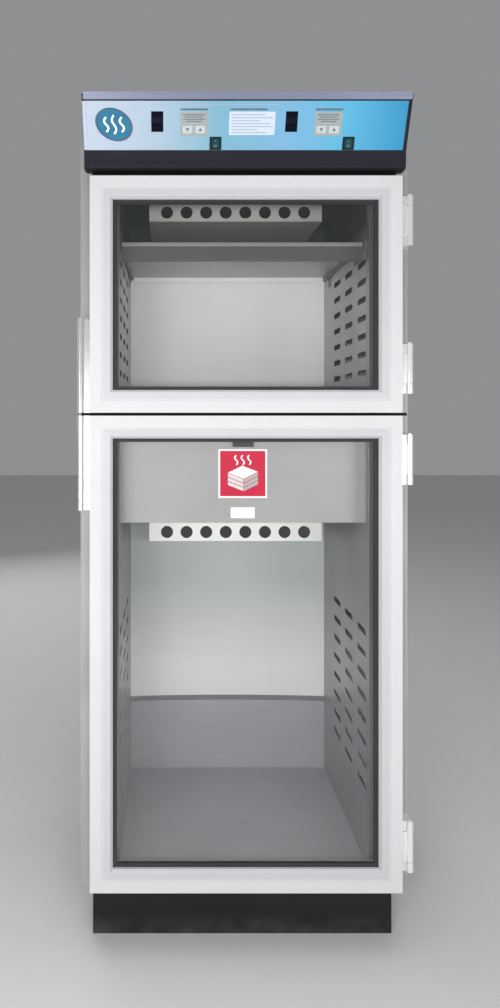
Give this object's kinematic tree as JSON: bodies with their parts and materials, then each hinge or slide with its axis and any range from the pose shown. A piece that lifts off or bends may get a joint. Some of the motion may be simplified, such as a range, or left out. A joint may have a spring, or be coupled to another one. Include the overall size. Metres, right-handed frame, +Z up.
{
  "type": "blanket warming cabinet",
  "caption": "Tall insulated warming cabinet on a recessed plinth, with framed glass doors stacked over two heated chambers, edge pulls, barrel hinges and a sloped control hood.",
  "frame": {"origin": "On the floor, at the centre of the overall footprint: midway between handle and hinge sides, and between the hood's front edge and the rear screw heads.", "axes": "+X to the viewer's right as the doors are faced (the hinge side), +Y to the rear, +Z up. The doors face -Y."},
  "size_m": [0.74, 0.673, 1.892],
  "materials": {
    "outer_sheet": "satin stainless sheet",
    "liner_sheet": "fine brushed stainless sheet",
    "header_sheet": "satin light grey",
    "plinth_paint": "matte black",
    "door_metal": "satin anodised extrusion",
    "handle_metal": "polished",
    "hinge_metal": "polished",
    "screw_metal": "plain stainless",
    "door_glass": "clear toughened",
    "seal_rubber": "soft black",
    "hood_paint": "fine charcoal texture",
    "trim_metal": "satin with a lilac cast",
    "overlay_film": "printed light blue film",
    "display_black": "gloss black window",
    "key_film": "pale blue grey film",
    "switch_plastic": "fine black green texture",
    "rocker_plastic": "dark teal",
    "label_film": "red printed label and white sticker",
    "wool": "pale mineral wool",
    "galvanised": "zinc coated sheet",
    "motor_case": "dark grey",
    "fan_plastic": "black moulding",
    "heater_sheath": "heat tinted sheath",
    "board_green": "green circuit board",
    "terminal_plastic": "black"
  },
  "bodies": {
    "cabinet": {"blower_housings": "galvanised", "blower_motors": "motor_case", "bottom_pan": "outer_sheet", "chamber_ceilings": "liner_sheet", "chamber_floors": "liner_sheet", "control_board": "board_green", "control_overlay": "overlay_film", "display_modules": "display_black", "face_frame_rails": "outer_sheet", "face_frame_stiles": "outer_sheet", "frame_hinge_brackets": "hinge_metal", "header_labels": "label_film", "heater_elements": "heater_sheath", "hinge_pins": "hinge_metal", "hood_end_caps": "hood_paint", "hood_shell": "hood_paint", "hood_trim": "trim_metal", "insulation_panels": "wool", "liner_back": "liner_sheet", "liner_walls": "liner_sheet", "lower_air_plenum": "liner_sheet", "lower_duct_panels": "liner_sheet", "lower_header_panel": "header_sheet", "panel_screws": "screw_metal", "plinth_panels": "plinth_paint", "rear_panel": "outer_sheet", "shelf_clips": "liner_sheet", "side_panel_left": "outer_sheet", "side_panel_right": "outer_sheet", "supply_terminal_box": "terminal_plastic", "switch_bezels": "switch_plastic", "top_panel": "outer_sheet", "upper_air_plenum": "liner_sheet", "upper_duct_panels": "liner_sheet"},
    "upper_door": {"upper_door_gasket": "seal_rubber", "upper_door_glass": "door_glass", "upper_door_handle": "handle_metal", "upper_door_hinge_leaves": "hinge_metal", "upper_door_rails": "door_metal", "upper_door_stiles": "door_metal", "upper_glazing_seal": "seal_rubber", "upper_handle_screws": "screw_metal"},
    "lower_door": {"lower_door_gasket": "seal_rubber", "lower_door_glass": "door_glass", "lower_door_handle": "handle_metal", "lower_door_hinge_leaves": "hinge_metal", "lower_door_rails": "door_metal", "lower_door_stiles": "door_metal", "lower_glazing_seal": "seal_rubber", "lower_handle_screws": "screw_metal"},
    "shelf": {"upper_shelf": "liner_sheet"},
    "upper_fan": {"upper_fan_wheel": "fan_plastic"},
    "lower_fan": {"lower_fan_wheel": "fan_plastic"},
    "upper_cooler_button": {"upper_cooler_key": "key_film"},
    "upper_warmer_button": {"upper_warmer_key": "key_film"},
    "lower_cooler_button": {"lower_cooler_key": "key_film"},
    "lower_warmer_button": {"lower_warmer_key": "key_film"},
    "upper_power_switch": {"upper_power_rocker": "rocker_plastic"},
    "lower_power_switch": {"lower_power_rocker": "rocker_plastic"}
  },
  "joints": [
    {"name": "upper_door_hinge", "type": "hinge", "parent": "cabinet", "child": "upper_door", "pos_m": [0.362, -0.29, 1.4635], "axis": [0, 0, 1], "range_deg": [0, 120]},
    {"name": "lower_door_hinge", "type": "hinge", "parent": "cabinet", "child": "lower_door", "pos_m": [0.362, -0.29, 0.6735], "axis": [0, 0, 1], "range_deg": [0, 120]},
    {"name": "shelf_lift", "type": "slide", "parent": "cabinet", "child": "shelf", "axis": [0, 0, 1], "range_m": [0, 0.025]},
    {"name": "upper_fan_spin", "type": "hinge", "parent": "cabinet", "child": "upper_fan", "pos_m": [0, 0.06, 1.7692], "axis": [0, 0, 1], "continuous": true},
    {"name": "lower_fan_spin", "type": "hinge", "parent": "cabinet", "child": "lower_fan", "pos_m": [0, 0.06, 0.9782], "axis": [0, 0, 1], "continuous": true},
    {"name": "upper_cooler_press", "type": "slide", "parent": "cabinet", "child": "upper_cooler_button", "axis": [0, 0.9075, 0.4201], "range_m": [0, 0.0005], "stiffness_N_per_m": 1500},
    {"name": "upper_warmer_press", "type": "slide", "parent": "cabinet", "child": "upper_warmer_button", "axis": [0, 0.9075, 0.4201], "range_m": [0, 0.0005], "stiffness_N_per_m": 1500},
    {"name": "lower_cooler_press", "type": "slide", "parent": "cabinet", "child": "lower_cooler_button", "axis": [0, 0.9075, 0.4201], "range_m": [0, 0.0005], "stiffness_N_per_m": 1500},
    {"name": "lower_warmer_press", "type": "slide", "parent": "cabinet", "child": "lower_warmer_button", "axis": [0, 0.9075, 0.4201], "range_m": [0, 0.0005], "stiffness_N_per_m": 1500},
    {"name": "upper_power_rock", "type": "hinge", "parent": "cabinet", "child": "upper_power_switch", "pos_m": [-0.0667, -0.29238, 1.79742], "axis": [1, 0, 0], "range_deg": [0, 9]},
    {"name": "lower_power_rock", "type": "hinge", "parent": "cabinet", "child": "lower_power_switch", "pos_m": [0.226, -0.29238, 1.79742], "axis": [1, 0, 0], "range_deg": [0, 9]}
  ]
}
